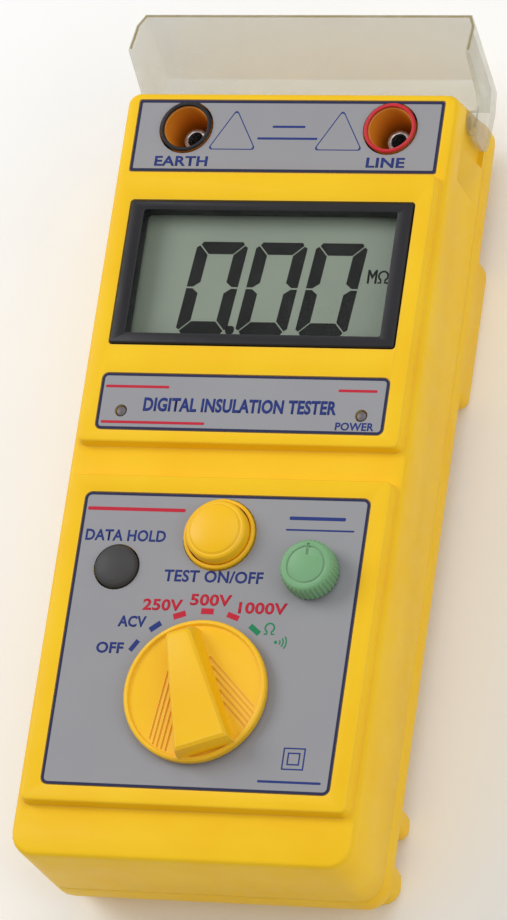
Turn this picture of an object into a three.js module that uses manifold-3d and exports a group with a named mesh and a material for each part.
// A hand-held insulation resistance tester lying on its back, in millimetres.
// X runs across the case, Y towards the test terminals, Z out of the front face; Z = 0 is the
// surface that the case rests on. The clear terminal cover is modelled swung open.
import * as THREE from "three";
import { mergeVertices } from "three/addons/utils/BufferGeometryUtils.js";
import Module from "manifold-3d";

const wasm = await Module();
wasm.setup();

// ---- driving dimensions -------------------------------------------------------------------
const CASE_HALF_WIDTH = 43.5; // 87 across the case, 90 over the cover
const COVER_HALF_WIDTH = 45;
const BOTTOM_Y = -100.4; // end nearest the user
const RIM_Y = 100.4; // terminal end of the front case
const REAR_TOP_Y = 104.6; // the rear case stands proud there and stops the open cover
const FOOT_HEIGHT = 7; // saddle and ribs under the rear case
const REAR_Z = FOOT_HEIGHT; // flat back of the rear case
const SPLIT_Z = 17.1; // joint between rear and front case
const FACE_Z = 43.2; // front face
const BLOCK_Z = 46.2; // raised display and control blocks
const WALL = 2.4;
const GAP = 0.3; // clearance left between neighbouring solids
const LABEL_SINK = 0.6;
const LABEL_THICK = 0.5;

const DISPLAY_BLOCK = { x: 42.1, y0: 4.9, y1: 78.2, r: 2.2 };
const CONTROL_BLOCK = { x: 42.1, y0: -88, y1: -2.5, r: 2.4 };
const BEZEL = { x: 37.1, y0: 31.2, y1: 69.9, r: 0.8 };
const VIEW = { x: 33.1, y0: 34.2, y1: 67.2, r: 0.6 };
const STATUS_LABEL = { x: 37.3, y0: 8.6, y1: 23.6, r: 1.6 };
const CONTROL_LABEL = { x: 36.8, y0: -83.3, y1: -7.8, r: 1.8 };
const TERMINAL_LABEL = { x: 40.2, y0: 78.9, y1: 98.5, r: 0.5 };

const TERMINALS = { earth: [-26.8, 91], line: [26.8, 91] };
const LEDS = { live: [-31.1, 13.6], power: [31.1, 13.6] };
const TEST_AT = [-0.5, -18.2];
const HOLD_AT = [-25.8, -27.2];
const ZERO_AT = [24.7, -27.4];
const SELECTOR_AT = [0, -59];
const SELECTOR_RADIUS = 18;
const SELECTOR_HEADING = 110; // degrees, the 250 V position

const HINGE = { y: 98.9, z: 28.9 };
const COVER_OPEN_ANGLE = 108; // degrees back from closed
const COVER_THICK = 1.2;
const PIVOT_RADIUS = 1.5;

const PCB_Z = 31; // underside of the main board
const BOARD_THICK = 1.6;
const CELL_RADIUS = 7.15;
const CELL_LENGTH = 50;
const CELL_PITCH = 14.8;
const CELL_Z = 17.3;

// ---- small geometry tools -----------------------------------------------------------------
const radians = THREE.MathUtils.degToRad;

function geometryFrom(points, triangles) {
  const g = new THREE.BufferGeometry();
  g.setAttribute("position", new THREE.Float32BufferAttribute(points.flat(), 3));
  g.setIndex(triangles.flat());
  return g;
}

function solidOf(geometry) {
  const bare = geometry.clone();
  bare.deleteAttribute("normal");
  bare.deleteAttribute("uv");
  const merged = mergeVertices(bare, 1e-4);
  return new wasm.Manifold(
    new wasm.Mesh({
      numProp: 3,
      vertProperties: new Float32Array(merged.attributes.position.array),
      triVerts: new Uint32Array(merged.index.array),
    }),
  );
}

function geometryOf(solid) {
  const m = solid.getMesh();
  const g = new THREE.BufferGeometry();
  const positions = new Float32Array(m.numVert * 3);
  for (let i = 0; i < m.numVert; i++) {
    positions.set(m.vertProperties.subarray(i * m.numProp, i * m.numProp + 3), i * 3);
  }
  g.setAttribute("position", new THREE.BufferAttribute(positions, 3));
  g.setIndex(new THREE.BufferAttribute(new Uint32Array(m.triVerts), 1));
  return g;
}

// Outline of a rectangle with round corners: r at the low-Y corners, rTop at the high-Y ones.
function outline({ x, y0, y1, r, rTop = r, cx = 0 }, steps) {
  const corners = [
    [cx + x - r, y0 + r, r, -90],
    [cx + x - rTop, y1 - rTop, rTop, 0],
    [cx - x + rTop, y1 - rTop, rTop, 90],
    [cx - x + r, y0 + r, r, 180],
  ];
  return corners.flatMap(([px, py, radius, from]) =>
    Array.from({ length: steps + 1 }, (_, i) => {
      const a = radians(from + (90 * i) / steps);
      return [px + radius * Math.cos(a), py + radius * Math.sin(a)];
    }),
  );
}

const inset = (o, d) => ({
  ...o,
  x: o.x - d,
  y0: o.y0 + d,
  y1: o.y1 - d,
  r: Math.max(o.r - d, 0.2),
  rTop: Math.max((o.rTop ?? o.r) - d, 0.2),
});

// A solid through a stack of rings of points, closed by a fan at both ends.
function stack(rings) {
  const n = rings[0].length;
  const points = rings.flat();
  const triangles = [];
  for (let k = 0; k + 1 < rings.length; k++) {
    for (let i = 0; i < n; i++) {
      const j = (i + 1) % n;
      triangles.push([k * n + i, k * n + j, (k + 1) * n + j]);
      triangles.push([k * n + i, (k + 1) * n + j, (k + 1) * n + i]);
    }
  }
  const centre = (ring) => [0, 1, 2].map((k) => ring.reduce((sum, p) => sum + p[k], 0) / n);
  const low = points.push(centre(rings[0])) - 1;
  const high = points.push(centre(rings.at(-1))) - 1;
  const last = (rings.length - 1) * n;
  for (let i = 0; i < n; i++) {
    const j = (i + 1) % n;
    triangles.push([low, j, i]);
    triangles.push([high, last + i, last + j]);
  }
  return solidOf(geometryFrom(points, triangles));
}

const loft = (levels, steps = 4) =>
  stack(levels.map((l) => outline(l, steps).map(([x, y]) => [x, y, l.z])));

// A slab on an outline, with its upper and lower edges rounded.
function slab(shape, z0, z1, { top = 0, bottom = 0, draft = 0, steps = 4 } = {}) {
  const arc = 3;
  const levels = [];
  for (let i = 0; i <= arc && bottom; i++) {
    const a = radians((90 * i) / arc);
    levels.push({ ...inset(shape, bottom * (1 - Math.sin(a))), z: z0 + bottom * (1 - Math.cos(a)) });
  }
  if (!bottom) levels.push({ ...shape, z: z0 });
  if (!top) levels.push({ ...inset(shape, draft), z: z1 });
  for (let i = 0; i <= arc && top; i++) {
    const a = radians((90 * i) / arc);
    levels.push({
      ...inset(shape, draft + top * (1 - Math.cos(a))),
      z: z1 - top * (1 - Math.sin(a)),
    });
  }
  return loft(levels, steps);
}

function box(x0, x1, y0, y1, z0, z1) {
  const g = new THREE.BoxGeometry(x1 - x0, y1 - y0, z1 - z0);
  return solidOf(g.translate((x0 + x1) / 2, (y0 + y1) / 2, (z0 + z1) / 2));
}

// A solid of revolution about Z through [x, y]; the profile holds [radius, z] pairs, upwards
// on the outside.
function turned(profile, [x, y], segments = 28) {
  const g = new THREE.LatheGeometry(
    profile.map(([r, z]) => new THREE.Vector2(r, z)),
    segments,
  );
  return solidOf(g.rotateX(Math.PI / 2).translate(x, y, 0));
}

const post = (r, z0, z1, at, segments = 24) =>
  turned([[0, z0], [r, z0], [r, z1], [0, z1]], at, segments);

const tube = (outer, inner, z0, z1, at, segments = 28) =>
  turned([[inner, z0], [outer, z0], [outer, z1], [inner, z1], [inner, z0]], at, segments);

// A round bar along X.
function crossBar(r, x0, x1, y, z, segments = 20) {
  const g = new THREE.CylinderGeometry(r, r, x1 - x0, segments);
  return solidOf(g.rotateZ(Math.PI / 2).translate((x0 + x1) / 2, y, z));
}

// A prism along X from x0 to x1 on a profile of [y, z] pairs.
function prismX(profile, x0, x1) {
  const shape = new THREE.Shape(profile.map(([y, z]) => new THREE.Vector2(y, z)));
  const g = new THREE.ExtrudeGeometry(shape, { depth: x1 - x0, bevelEnabled: false });
  const axes = new THREE.Matrix4().makeBasis(
    new THREE.Vector3(0, 1, 0),
    new THREE.Vector3(0, 0, 1),
    new THREE.Vector3(1, 0, 0),
  );
  return solidOf(g.applyMatrix4(axes).translate(x0, 0, 0));
}

// A prism along Y from y0 to y1 on a profile of [x, z] pairs.
function prismY(profile, y0, y1) {
  const shape = new THREE.Shape(profile.map(([x, z]) => new THREE.Vector2(x, z)));
  const g = new THREE.ExtrudeGeometry(shape, { depth: y1 - y0, bevelEnabled: false });
  return solidOf(g.rotateX(Math.PI / 2).translate(0, y1, 0));
}

const union = (first, ...rest) => rest.reduce((a, b) => a.add(b), first);
const cut = (body, ...tools) => tools.reduce((a, b) => a.subtract(b), body);

// ---- materials ----------------------------------------------------------------------------
const finish = (color, roughness, metalness = 0, extra = {}) =>
  new THREE.MeshStandardMaterial({ color, roughness, metalness, ...extra });
const casePlastic = finish("#f2b62a", 0.42);
const clearPlastic = finish("#d8d6c8", 0.12, 0, { transparent: true, opacity: 0.35 });
const labelFilm = finish("#9b9ca2", 0.5);
const blackPlastic = finish("#26252b", 0.38);
const blackRubber = finish("#3a3a3c", 0.7);
const redPlastic = finish("#c3303a", 0.4);
const greenPlastic = finish("#68b07c", 0.45);
const lcdGlass = finish("#9aa39a", 0.25);
const ledLens = finish("#8a7f86", 0.3);
const nickel = finish("#b9bcc0", 0.3, 1);
const brass = finish("#c9a24a", 0.35, 1);
const boardLaminate = finish("#2c6b3f", 0.55);
const copperWinding = finish("#a8652f", 0.45, 0.6);
const cellWrap = finish("#2f4f86", 0.35);
const steel = finish("#a9abad", 0.35, 1);

const part = new THREE.Group();
function add(name, solid, material) {
  const mesh = new THREE.Mesh(geometryOf(solid), material);
  mesh.name = name;
  part.add(mesh);
  return mesh;
}

// ---- casing -------------------------------------------------------------------------------
const CASE_OUTLINE = {
  x: CASE_HALF_WIDTH, y0: BOTTOM_Y, y1: RIM_Y, r: 6, rTop: 3.2,
};
const REAR_OUTLINE = { ...CASE_OUTLINE, y1: REAR_TOP_Y };
const CASE_SCREWS = [
  [-37, -92.5], [37, -92.5], [-37, 82], [37, 82],
];
const BOSS_RADIUS = 3.4;
const SCREW_RADIUS = 1.5;

const FACE_EDGE = 1.5; // radius along the front face's edges
const END_SLOPE = 3.8; // lean of the terminal end wall over its height
const LED_HOLE = 1.6;
const RELIEF_FLOOR = 42.1;
const RELIEF_TOP = 36.8;
const ARM_SPACE = { y0: 91, z0: 18.4 };

// Relief in the side wall for the cover's arm and the hole for its pin. Towards the middle of
// the case it runs out into the wall as a shallow finger hollow.
function coverReliefs(side) {
  const top = [[50, RELIEF_TOP], [CASE_HALF_WIDTH, RELIEF_TOP], [RELIEF_FLOOR, 31.6]];
  const hollow = [...top, [CASE_HALF_WIDTH, 19.5], [50, 19.5]];
  const space = [...top, [RELIEF_FLOOR, ARM_SPACE.z0], [50, ARM_SPACE.z0]];
  const made = union(
    prismY(hollow, 80.3, ARM_SPACE.y0 + 0.1),
    prismY(space, ARM_SPACE.y0, REAR_TOP_Y + 5),
    crossBar(PIVOT_RADIUS + GAP, 38, 50, HINGE.y, HINGE.z),
  );
  return side > 0 ? made : made.mirror([1, 0, 0]);
}

function frontCase() {
  const at = (z, d) => ({
    ...inset(CASE_OUTLINE, d),
    y1: RIM_Y - d + (END_SLOPE * (FACE_Z - z)) / (FACE_Z - SPLIT_Z),
    z,
  });
  const edge = [0, 30, 60, 90].map(radians).map((a) =>
    at(FACE_Z - FACE_EDGE * (1 - Math.sin(a)), FACE_EDGE * (1 - Math.cos(a))));
  const shell = loft([at(SPLIT_Z, 0), ...edge], 5);
  const display = slab(DISPLAY_BLOCK, FACE_Z - 1, BLOCK_Z, { top: 0.7, draft: 0.6 });
  const controls = slab(CONTROL_BLOCK, FACE_Z - 1, BLOCK_Z, { top: 0.7, draft: 0.6 });
  const cavity = slab(inset(CASE_OUTLINE, WALL), SPLIT_Z - 1, FACE_Z - WALL, { steps: 3 });
  const bosses = CASE_SCREWS.map((at) => post(BOSS_RADIUS, SPLIT_Z + 1, FACE_Z - 1, at, 16));
  const body = union(cut(union(shell, display, controls), cavity), ...bosses);
  const through = (shape) => slab(shape, SPLIT_Z, BLOCK_Z + 1);
  return cut(
    body,
    through({ ...BEZEL, x: BEZEL.x - 1, y0: BEZEL.y0 + 1, y1: BEZEL.y1 - 1 }),
    slab(inset(BEZEL, -0.15), BLOCK_Z - 2.2, BLOCK_Z + 1),
    slab(inset(STATUS_LABEL, -0.1), BLOCK_Z - LABEL_SINK, BLOCK_Z + 1),
    slab(inset(CONTROL_LABEL, -0.1), BLOCK_Z - LABEL_SINK, BLOCK_Z + 1),
    slab(inset(TERMINAL_LABEL, -0.1), FACE_Z - LABEL_SINK, FACE_Z + 1),
    ...Object.values(TERMINALS).map((at) => post(7.1, 30, FACE_Z + 1, at, 32)),
    ...Object.values(LEDS).map((at) => post(LED_HOLE, 30, BLOCK_Z + 1, at, 16)),
    post(8.9, 30, BLOCK_Z + 1, TEST_AT, 32),
    post(5.9, 30, BLOCK_Z + 1, HOLD_AT, 28),
    post(3.6, 30, BLOCK_Z + 1, ZERO_AT, 20),
    post(4.4, 30, BLOCK_Z + 1, SELECTOR_AT, 24),
    ...CASE_SCREWS.map((at) => post(SCREW_RADIUS + 0.15, SPLIT_Z - 1, FACE_Z - 5, at, 12)),
    coverReliefs(1),
    coverReliefs(-1),
  );
}
add("front_case", frontCase(), casePlastic);

const SADDLE = { x: 43.2, y0: 32.8, y1: 71.4, r: 3 };
const RIBS = [
  { x: 43.2, y0: -80.2, y1: -72.8, r: 3 },
  { x: 43.2, y0: -96.6, y1: -86.2, r: 4.6 },
];
const DOOR = { x: 31.4, y0: -72.2, y1: 32.2, r: 3 };
const DOOR_THICK = 2;
const DOOR_SCREW_AT = [0, -20];
const TRAY = { x: 31.2, y0: -77, y1: 37, r: 1 };
const TRAY_TOP = 27;

function rearCase() {
  const shell = slab(REAR_OUTLINE, REAR_Z, SPLIT_Z - GAP, { bottom: 4, steps: 5 });
  const feet = [SADDLE, ...RIBS].map((o) => {
    const round = o === SADDLE ? 2.6 : 3;
    return slab(o, 0, REAR_Z + 3.2, { bottom: round });
  });
  const cavity = slab(inset(REAR_OUTLINE, WALL + 0.4), REAR_Z + WALL, SPLIT_Z + 1, { steps: 3 });
  const saddleHollow = slab(inset(SADDLE, 3.4), WALL, REAR_Z + WALL + 1, { steps: 3 });
  const bosses = CASE_SCREWS.map((at) => post(BOSS_RADIUS, REAR_Z + 1, SPLIT_Z - GAP, at, 16));
  return cut(
    union(cut(union(shell, ...feet), cavity, saddleHollow), ...bosses),
    slab(inset(DOOR, -GAP), REAR_Z - 1, REAR_Z + DOOR_THICK + 0.2),
    slab(inset(DOOR, 1.4), REAR_Z, REAR_Z + WALL + 1),
    ...CASE_SCREWS.map((at) => post(SCREW_RADIUS + 0.2, -1, SPLIT_Z + 1, at, 12)),
    ...CASE_SCREWS.map((at) => post(3, -1, REAR_Z + 3, at, 16)),
  );
}
add("rear_case", rearCase(), casePlastic);

const door = slab(DOOR, REAR_Z, REAR_Z + DOOR_THICK, { bottom: 0.3 });
const doorGrips = [-3, 0, 3].map((y) => box(-9, 9, y - 62.7, y - 61.3, REAR_Z - 1, REAR_Z + 0.6));
const doorSeat = turned([[0, 5], [3.1, 5], [3.1, 7.3], [1.6, 8.4], [1.6, 11], [0, 11]], DOOR_SCREW_AT);
add("battery_door", cut(door, doorSeat, ...doorGrips), casePlastic);

// A cross-head screw driven upwards, with its head's face at z0.
function screw([x, y], z0, length, headRadius, radius) {
  const shank = turned(
    [[0, z0], [headRadius, z0], [headRadius, z0 + 0.5], [radius, z0 + 1.5],
      [radius, z0 + length - 1], [0, z0 + length]],
    [x, y],
    16,
  );
  const slot = (dx, dy) => box(x - dx, x + dx, y - dy, y + dy, z0 - 1, z0 + 0.8);
  return cut(shank, slot(headRadius * 0.6, 0.25), slot(0.25, headRadius * 0.6));
}
CASE_SCREWS.forEach((at, i) =>
  add(`case_screw_${i + 1}`, screw(at, REAR_Z + 0.4, 22, 2.6, SCREW_RADIUS - 0.3), steel));
add("battery_door_screw", screw(DOOR_SCREW_AT, REAR_Z + 0.1, 9, 2.7, 1.2), steel);

// ---- labels and display -------------------------------------------------------------------
function label(shape, faceZ, ...holes) {
  const z0 = faceZ - LABEL_SINK;
  const film = slab(inset(shape, 0.15), z0 + 0.05, z0 + 0.05 + LABEL_THICK, { steps: 4 });
  return cut(film, ...holes.map(([at, r]) => post(r, z0 - 1, faceZ + 1, at, 32)));
}
const ledHoles = Object.values(LEDS).map((at) => [at, LED_HOLE]);
add("status_label", label(STATUS_LABEL, BLOCK_Z, ...ledHoles), labelFilm);
add(
  "control_label",
  label(CONTROL_LABEL, BLOCK_Z, [TEST_AT, 9.4], [HOLD_AT, 5.9], [ZERO_AT, 3.6], [SELECTOR_AT, 4.4]),
  labelFilm,
);
const terminalHoles = Object.values(TERMINALS).map((at) => [at, 7.1]);
add("terminal_label", label(TERMINAL_LABEL, FACE_Z, ...terminalHoles), labelFilm);

const bezelTop = BLOCK_Z + 0.4;
const bezel = slab(inset(BEZEL, 0.2), BLOCK_Z - 1.9, bezelTop, { top: 0.4 });
const bezelSleeve = slab({ ...BEZEL, x: BEZEL.x - 1.4, y0: BEZEL.y0 + 1.4, y1: BEZEL.y1 - 1.4 },
  39, BLOCK_Z - 1);
const viewCut = slab(VIEW, 38, BLOCK_Z + 2);
const windowStep = slab(inset(VIEW, -1.2), 38, BLOCK_Z - 3.4);
add("display_bezel", cut(union(bezel, bezelSleeve), viewCut, windowStep), blackPlastic);
const windowZ = BLOCK_Z - 3.7;
add("display_window", slab(inset(VIEW, -0.8), windowZ - 1, windowZ), clearPlastic);
add("lcd_panel", slab(inset(VIEW, -0.8), windowZ - 4, windowZ - 1.3), lcdGlass);

// ---- clear terminal cover -----------------------------------------------------------------
// Side profile [y, z] about the hinge, as it stands open.
const COVER_SIDE = [
  [24, 12.2], [12.5, 15.7], [6.6, 2.9], [4, 2.4], [-3.6, 2.4], [-5.1, 1], [-5.1, -5.5],
  [-4.3, -7.8], [-2.2, -9.2], [0.5, -9.6], [7.3, -11.1], [16.4, -9.7],
].map(([y, z]) => [y + HINGE.y, z + HINGE.z]);
const [COVER_EDGE, , , , , , , , , , COVER_LIP, COVER_KNEE] = COVER_SIDE;
// Half of the cover's section across the case as [x, z above the hinge], closed, from its top
// plate down: the plate's edges are canted, so that the walls clear the case below them.
const COVER_SECTION = [[43.2, 19.1], [44.8, 15.4], [COVER_HALF_WIDTH, 7], [COVER_HALF_WIDTH, -40]];

// Everything between the cover's two side walls, closed flat across at height "roof".
function coverSection(offset, roof) {
  const right = COVER_SECTION.map(([x, z]) => [x - offset, z]);
  const [[x0], [x1, z1]] = right;
  const crown = [x1 + ((x0 - x1) * (roof - z1)) / (COVER_SECTION[0][1] - z1), roof];
  const half = [crown, ...right.slice(1)];
  const left = half.map(([x, z]) => [-x, z]).reverse();
  return prismY([...left, ...half], -60, 60)
    .rotate([-COVER_OPEN_ANGLE, 0, 0])
    .translate([0, HINGE.y, HINGE.z]);
}

// The space on the cover's inner side: it starts one wall thickness in from plate and lip.
function coverInside() {
  const knee = new THREE.Vector2(...COVER_KNEE);
  const up = new THREE.Vector2(...COVER_EDGE).sub(knee).normalize();
  const lipEnd = new THREE.Vector2(...COVER_LIP);
  const back = lipEnd.clone().sub(knee).normalize();
  const corner = knee.clone().addScaledVector(up, COVER_THICK).addScaledVector(back, COVER_THICK);
  const lip = corner.clone().addScaledVector(back, knee.distanceTo(lipEnd) - COVER_THICK);
  const far = [[0, 45], [-40, 0], [-12, -45]].map(([y, z]) => [y + HINGE.y, z + HINGE.z]);
  return prismX(
    [
      corner.toArray(),
      corner.clone().addScaledVector(up, 40).toArray(),
      ...far,
      [lip.x, HINGE.z - 45],
      lip.toArray(),
    ],
    -COVER_HALF_WIDTH,
    COVER_HALF_WIDTH,
  );
}

function terminalCover() {
  const whole = prismX([...COVER_SIDE].reverse(), -COVER_HALF_WIDTH, COVER_HALF_WIDTH);
  const inside = coverInside().intersect(coverSection(COVER_THICK, 30));
  const shell = whole.intersect(coverSection(0, 30)).subtract(inside);
  const pivots = [-1, 1].flatMap((side) => {
    const across = (r, x0, x1) =>
      crossBar(r, Math.min(side * x0, side * x1), Math.max(side * x0, side * x1), HINGE.y, HINGE.z);
    const outer = COVER_HALF_WIDTH - 0.2;
    return [across(3.2, RELIEF_FLOOR + GAP, outer), across(PIVOT_RADIUS, 39.6, outer)];
  });
  return union(shell, ...pivots);
}
add("terminal_cover", terminalCover(), clearPlastic);

// ---- range selector -----------------------------------------------------------------------
const DISH_Z = BLOCK_Z + 2.1;
const HANDLE_TOP = BLOCK_Z + 8.1;

function selectorKnob() {
  const z0 = BLOCK_Z + 0.3;
  const R = SELECTOR_RADIUS;
  const disc = turned(
    [[0, z0], [R - 0.4, z0], [R, z0 + 0.4], [R, z0 + 2.2], [R - 0.4, z0 + 2.6],
      [R - 1, z0 + 2.6], [R - 1.4, DISH_Z], [0, DISH_Z]],
    [0, 0],
    48,
  );
  // Half width of the handle at distance u along the pointer, at its foot and at its top.
  const plan = (u0, w0, u1, w1) => [
    [u0, -w0], [u1 - 0.8, -w1], [u1, -w1 + 0.8], [u1, w1 - 0.8], [u1 - 0.8, w1], [u0, w0],
  ];
  const level = (points, z) => points.map(([u, w]) => [u, w, z]);
  const handle = stack([
    level(plan(-16.2, 7.5, 16, 4.7), z0 + 1),
    level(plan(-16.1, 7.1, 15.4, 3.7), DISH_Z + 3),
    level(plan(-15.8, 6.7, 14.2, 3.1), HANDLE_TOP - 0.7),
    level(plan(-15.1, 6, 13.2, 2.5), HANDLE_TOP),
  ]);
  const grooves = [7.5, 5, 2.4, -0.3, -3].flatMap((u) => [-1, 1].map((side) =>
    box(-18, 0, -0.25, 0.25, DISH_Z - 0.45, DISH_Z + 1)
      .rotate([0, 0, -27 * side])
      .translate([u, side * 5.2, 0])));
  const inside = post(R - 1.6, z0, DISH_Z + 5, [0, 0], 40);
  const stalk = post(3.8, 42.6, z0 + 1, [0, 0], 24);
  const socket = post(2.3, 40, z0 + 3.8, [0, 0], 20);
  const scored = cut(disc, ...grooves.map((g) => g.intersect(inside)));
  return cut(union(scored, handle, stalk), socket)
    .rotate([0, 0, SELECTOR_HEADING])
    .translate([...SELECTOR_AT, 0]);
}
add("selector_knob", selectorKnob(), casePlastic);

const switchBody = slab({ x: 13, y0: SELECTOR_AT[1] - 13, y1: SELECTOR_AT[1] + 13, r: 4 }, 33, 38.6);
add("selector_switch", cut(switchBody, post(3, 34.4, 40, SELECTOR_AT)), blackPlastic);
const spindle = turned(
  [[0, 34.8], [2.7, 34.8], [2.7, 41.9], [2, 42.4], [2, BLOCK_Z + 3.6], [0, BLOCK_Z + 3.6]],
  SELECTOR_AT,
);
add("selector_spindle", spindle, nickel);

// ---- push buttons and zero adjuster -------------------------------------------------------
const testRing = [
  [8.2, 41.5], [8.6, 41.5], [8.6, 45.9], [9.1, 45.9], [9.1, 46.9], [8.8, 47.3], [8.2, 47.3],
  [8.2, 41.5],
];
add("test_ring", turned(testRing, TEST_AT, 40), casePlastic);
const testCap = [
  [0, 39.9], [8.5, 39.9], [8.5, 41.1], [7.9, 41.1], [7.9, 48.9], [7.5, 49.8], [6.9, 50.2],
  [6.6, 50.1], [6.1, 50.6], [3.6, 51.1], [0, 51.3],
];
add("test_button", turned(testCap, TEST_AT, 40), casePlastic);

const holdCap = [
  [0, 39.2], [7, 39.2], [7, 40.4], [5.5, 40.4], [5.5, 46.5], [5, 47.3], [3.5, 47.8], [0, 48],
];
add("hold_button", turned(holdCap, HOLD_AT, 36), blackRubber);

// Tact switch below a button: a square body with a round plunger on top.
function tactSwitch([x, y], half, bodyTop, plungerTop) {
  const body = box(x - half, x + half, y - half, y + half, PCB_Z + BOARD_THICK + 0.3, bodyTop);
  return body.add(post(half * 0.55, bodyTop - 1, plungerTop, [x, y], 16));
}
add("test_switch", tactSwitch(TEST_AT, 6, 36.4, 38.1), blackPlastic);
add("hold_switch", tactSwitch(HOLD_AT, 4, 36.2, 37.7), blackPlastic);

function zeroKnob() {
  const teeth = 36;
  const z0 = BLOCK_Z + 0.3;
  const ring = (r, depth, z) =>
    Array.from({ length: teeth * 2 }, (_, i) => {
      const a = (Math.PI * i) / teeth;
      const rr = r - (i % 2) * depth;
      return [rr * Math.cos(a), rr * Math.sin(a), z];
    });
  const body = stack([
    ring(6.8, 0.3, z0), ring(7.1, 0.4, z0 + 0.5), ring(6.9, 0.4, z0 + 4.8),
    ring(6.5, 0.1, z0 + 5.5), ring(5.9, 0, z0 + 5.9),
  ]);
  const pointer = box(-0.35, 0.35, 2.6, 5.6, z0 + 5.5, z0 + 7);
  const moat = tube(4.9, 4.4, z0 + 5.6, z0 + 7, [0, 0], 36);
  return cut(body, pointer, moat, post(1.8, z0 - 1, z0 + 4, [0, 0], 16)).translate([...ZERO_AT, 0]);
}
add("zero_knob", zeroKnob(), greenPlastic);
const [zx, zy] = ZERO_AT;
const potBody = box(zx - 7.5, zx + 7.5, zy - 7.5, zy + 7.5, 33, 38.8);
const potBush = post(3.2, 38, 45, ZERO_AT, 20);
add("zero_potentiometer", cut(union(potBody, potBush), post(1.8, 35, 46, ZERO_AT, 16)), nickel);
add("zero_spindle", post(1.5, 35.3, BLOCK_Z + 4, ZERO_AT, 16), nickel);

// ---- terminals and indicator lamps --------------------------------------------------------
const WELL_FOOT = 24;
const CONTACT_TOP = FACE_Z - 7.8;
const wellProfile = [
  [3.3, WELL_FOOT], [6.5, WELL_FOOT], [6.5, FACE_Z - 0.2], [5.5, FACE_Z - 0.2],
  [5.3, WELL_FOOT + 2], [3.3, WELL_FOOT + 2], [3.3, WELL_FOOT],
];
const ringProfile = [
  [5.7, FACE_Z + 0.1], [6.7, FACE_Z + 0.1], [6.7, FACE_Z + 0.5], [6.4, FACE_Z + 0.8],
  [5.9, FACE_Z + 0.8], [5.7, FACE_Z + 0.5], [5.7, FACE_Z + 0.1],
];
const contactProfile = [
  [0, 19], [1.2, 19], [1.2, 22.5], [3, 22.5], [3, CONTACT_TOP], [2, CONTACT_TOP], [2, 24.5],
  [0, 24.5],
];
for (const [name, at] of Object.entries(TERMINALS)) {
  add(`${name}_ring`, turned(ringProfile, at, 36), name === "line" ? redPlastic : blackPlastic);
  add(`${name}_well`, turned(wellProfile, at, 32), casePlastic);
  add(`${name}_contact`, turned(contactProfile, at, 28), nickel);
}

const BOARD_TOP = PCB_Z + BOARD_THICK;
const ledProfile = [
  [0, BOARD_TOP + 0.3], [1.45, BOARD_TOP + 0.3], [1.45, BLOCK_Z - 0.9], [1.1, BLOCK_Z - 0.3],
  [0, BLOCK_Z - 0.1],
];
for (const [name, at] of Object.entries(LEDS)) {
  add(`${name}_led`, turned(ledProfile, at, 16), ledLens);
}

// ---- electronics --------------------------------------------------------------------------
const boardHoles = [
  ...CASE_SCREWS.map((at) => post(BOSS_RADIUS + 0.4, 30, 34, at, 20)),
  ...Object.values(TERMINALS).map((at) => post(6.9, 30, 34, at, 24)),
];
const board = slab({ x: 39.4, y0: -96, y1: 97, r: 2 }, PCB_Z, BOARD_TOP);
add("main_board", cut(board, ...boardHoles), boardLaminate);

const coreHollow = box(-24.4, -13.6, 48, 68, 18, 26.6);
add("transformer_core", cut(box(-29, -9, 50, 66, 14, PCB_Z - 0.3), coreHollow), steel);
add("transformer_winding", box(-24.1, -13.9, 46.5, 69.5, 18.3, 26.3), copperWinding);
const buzzerProfile = [
  [0, 20], [1.4, 21], [1.4, 20], [10.5, 20], [11, 20.5], [11, PCB_Z - 0.3], [0, PCB_Z - 0.3],
];
add("buzzer", turned(buzzerProfile, [20, 56], 32), blackPlastic);
const fuseBody = union(
  crossBar(2.3, -9, 9, 80, 27.6),
  crossBar(2.6, -10, -4.5, 80, 27.6),
  crossBar(2.6, 4.5, 10, 80, 27.6),
);
add("fuse", fuseBody, nickel);

// ---- battery compartment ------------------------------------------------------------------
const WEB_AT = DOOR_SCREW_AT[1];
const TRAY_FOOT = REAR_Z + WALL + GAP;
const COLUMNS = [-1.5, -0.5, 0.5, 1.5].map((k) => k * CELL_PITCH);
const END_GAP = 2.6; // from a cell's end to the middle web and to the end walls

function batteryTray() {
  const shell = slab(TRAY, TRAY_FOOT, TRAY_TOP, { steps: 3 });
  const bay = (y0, y1) => box(-30, 30, y0, y1, TRAY_FOOT - 1, TRAY_TOP - 1.4);
  const body = cut(shell, bay(TRAY.y0 + 1.2, WEB_AT - 1), bay(WEB_AT + 1, TRAY.y1 - 1.2));
  const boss = post(2.4, TRAY_FOOT, TRAY_TOP - 1, DOOR_SCREW_AT, 16);
  const links = COLUMNS.map((x) => box(x - 2.2, x + 2.2, WEB_AT - 3, WEB_AT + 3, 15, 19.6));
  return cut(union(body, boss), post(1.5, 0, 17, DOOR_SCREW_AT, 12), ...links);
}
add("battery_tray", batteryTray(), blackPlastic);

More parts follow.
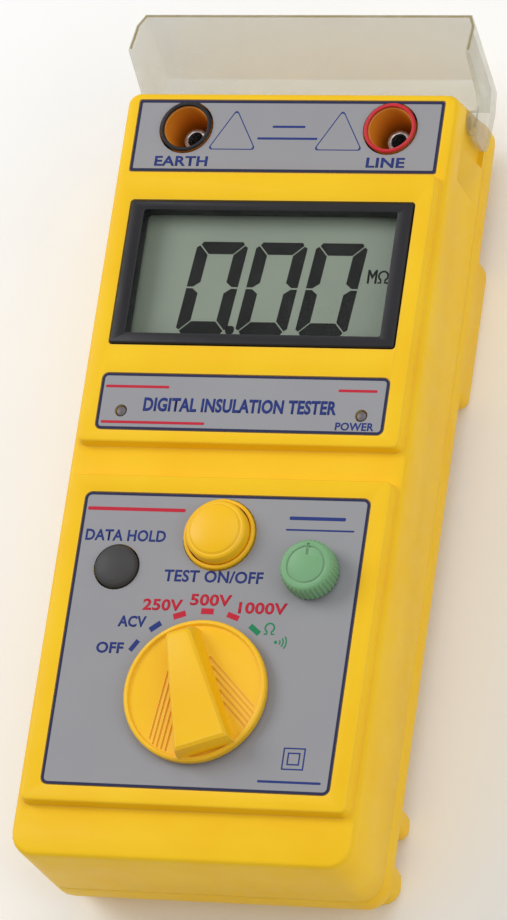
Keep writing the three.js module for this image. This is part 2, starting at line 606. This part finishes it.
const cellAt = (row) => (row < 0 ? WEB_AT - END_GAP - CELL_LENGTH : WEB_AT + END_GAP);
const cellProfile = [
  [0, 0], [CELL_RADIUS - 0.4, 0], [CELL_RADIUS, 0.4], [CELL_RADIUS, CELL_LENGTH - 1.6],
  [CELL_RADIUS - 0.6, CELL_LENGTH - 1], [2.6, CELL_LENGTH - 1], [2.6, CELL_LENGTH],
  [0, CELL_LENGTH],
];
[-1, 1].forEach((row, r) => COLUMNS.forEach((x, i) => {
  const up = i % 2 === 0;
  const upright = turned(cellProfile, [0, 0], 24);
  const lying = upright.rotate([up ? -90 : 90, 0, 0]);
  const y = cellAt(row) + (up ? 0 : CELL_LENGTH);
  add(`cell_${r * 4 + i + 1}`, lying.translate([x, y, CELL_Z]), cellWrap);
}));

// Sprung plate joining the ends of neighbouring cells; a cone stands for each coil spring.
function contactPlate(y, inward, ...columns) {
  const xs = columns.map((i) => COLUMNS[i]);
  const thick = 0.5;
  const y0 = inward > 0 ? y : y - thick;
  const plate = box(Math.min(...xs) - 4.6, Math.max(...xs) + 4.6, y0, y0 + thick, 12.4, 22.2);
  const bumps = xs.map((x) =>
    turned([[0, 0], [3.6, 0], [1.8, 1.7], [0, 1.7]], [0, 0], 16)
      .rotate([inward > 0 ? -90 : 90, 0, 0])
      .translate([x, y + inward * 0.3, CELL_Z]));
  return union(plate, ...bumps);
}
const FAR = TRAY.y1 - 1.2 - 0.3;
const NEAR = TRAY.y0 + 1.2 + 0.3;
add("contact_far_left", contactPlate(FAR, -1, 0, 1), nickel);
add("contact_far_right", contactPlate(FAR, -1, 2, 3), nickel);
add("contact_near_left", contactPlate(NEAR, 1, 0), nickel);
add("contact_near_middle", contactPlate(NEAR, 1, 1, 2), nickel);
add("contact_near_right", contactPlate(NEAR, 1, 3), nickel);
COLUMNS.forEach((x, i) => {
  const rivet = box(x - 1.9, x + 1.9, WEB_AT - 2.2, WEB_AT + 2.2, 15.3, 19.3);
  add(`cell_link_${i + 1}`, rivet, nickel);
});

// ---- place in the part's own frame --------------------------------------------------------
const bounds = new THREE.Box3().setFromObject(part);
const middleY = (bounds.min.y + bounds.max.y) / 2;
for (const mesh of part.children) {
  mesh.geometry.translate(0, -middleY, 0);
  mesh.geometry.computeVertexNormals();
}

export default part;
